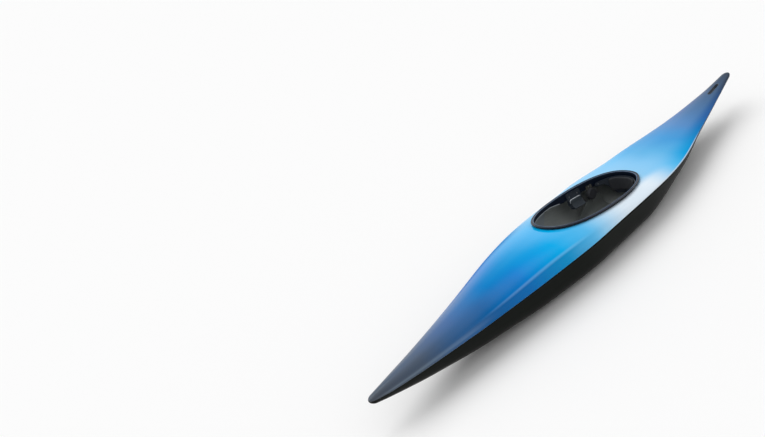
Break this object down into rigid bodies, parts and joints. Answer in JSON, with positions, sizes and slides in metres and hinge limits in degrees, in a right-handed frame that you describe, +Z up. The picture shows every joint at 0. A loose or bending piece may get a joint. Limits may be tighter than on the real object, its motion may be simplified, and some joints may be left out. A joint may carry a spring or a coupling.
{
  "type": "slalom kayak",
  "caption": "Slender low-volume slalom kayak with rockered hull, peaked foredeck, raked oval cockpit coaming, fitted seat, back band and sliding footrest.",
  "frame": {"origin": "on the ground under the middle of the boat", "axes": "+X towards the bow, +Y to port, +Z up; the boat stands level on its flat bottom amidships"},
  "size_m": [3.5, 0.5996, 0.3053],
  "materials": {
    "hull_gelcoat": "glossy gelcoat, near black with an olive tint",
    "deck_paint": "clear-coated spray-painted gradient from slate grey through blue to pale blue",
    "coaming_laminate": "satin laminate",
    "bare_laminate": "bare woven laminate, resin-rich",
    "carbon_laminate": "satin woven laminate",
    "dark_foam": "closed-cell foam, fine grain",
    "pale_foam": "closed-cell foam, fine grain",
    "webbing": "stiff woven strap",
    "moulded_plastic": "moulded, fine texture",
    "anodised_aluminium": "brushed and anodised",
    "stainless_steel": "turned and polished"
  },
  "bodies": {
    "boat": {"hull_shell": "hull_gelcoat", "deck_shell": "deck_paint", "cockpit_coaming": "coaming_laminate", "seam_tape_port": "bare_laminate", "seam_tape_starboard": "bare_laminate", "stern_slot_liner": "moulded_plastic", "seat_pan": "bare_laminate", "seat_pad": "dark_foam", "seat_hanger_port": "webbing", "hip_pad_port": "dark_foam", "hanger_bolt_port": "stainless_steel", "seat_bolt_port": "stainless_steel", "thigh_brace_port": "carbon_laminate", "thigh_pad_port": "dark_foam", "brace_bolt_port_rear": "stainless_steel", "brace_bolt_port_front": "stainless_steel", "band_bolt_port": "stainless_steel", "knee_plate_port": "pale_foam", "footrest_rail_port": "anodised_aluminium", "rail_bracket_port_rear": "moulded_plastic", "rail_screw_port_rear": "stainless_steel", "rail_bracket_port_front": "moulded_plastic", "rail_screw_port_front": "stainless_steel", "seat_hanger_starboard": "webbing", "hip_pad_starboard": "dark_foam", "hanger_bolt_starboard": "stainless_steel", "seat_bolt_starboard": "stainless_steel", "thigh_brace_starboard": "carbon_laminate", "thigh_pad_starboard": "dark_foam", "brace_bolt_starboard_rear": "stainless_steel", "brace_bolt_starboard_front": "stainless_steel", "band_bolt_starboard": "stainless_steel", "knee_plate_starboard": "pale_foam", "footrest_rail_starboard": "anodised_aluminium", "rail_bracket_starboard_rear": "moulded_plastic", "rail_screw_starboard_rear": "stainless_steel", "rail_bracket_starboard_front": "moulded_plastic", "rail_screw_starboard_front": "stainless_steel", "bow_pillar": "pale_foam", "stern_pillar": "pale_foam"},
    "back_band": {"back_band": "carbon_laminate", "back_band_pad": "dark_foam"},
    "footrest": {"footrest_slider_port": "moulded_plastic", "footrest_slider_starboard": "moulded_plastic", "footrest_bar": "anodised_aluminium", "foot_plate_port": "moulded_plastic", "foot_plate_starboard": "moulded_plastic"},
    "knob_port": {"clamp_knob_port": "moulded_plastic"},
    "knob_starboard": {"clamp_knob_starboard": "moulded_plastic"}
  },
  "joints": [
    {"name": "back_band_tilt", "type": "hinge", "parent": "boat", "child": "back_band", "pos_m": [-0.455, 0, 0.1707], "axis": [0, 1, 0], "range_deg": [-12, 12]},
    {"name": "footrest_slide", "type": "slide", "parent": "boat", "child": "footrest", "axis": [1, 0, 0], "range_m": [-0.12, 0.12]},
    {"name": "knob_port_turn", "type": "hinge", "parent": "footrest", "child": "knob_port", "pos_m": [0.584, 0.12, 0.1], "axis": [0, -1, 0], "range_deg": [0, 360]},
    {"name": "knob_starboard_turn", "type": "hinge", "parent": "footrest", "child": "knob_starboard", "pos_m": [0.584, -0.12, 0.1], "axis": [0, 1, 0], "range_deg": [0, 360]}
  ]
}
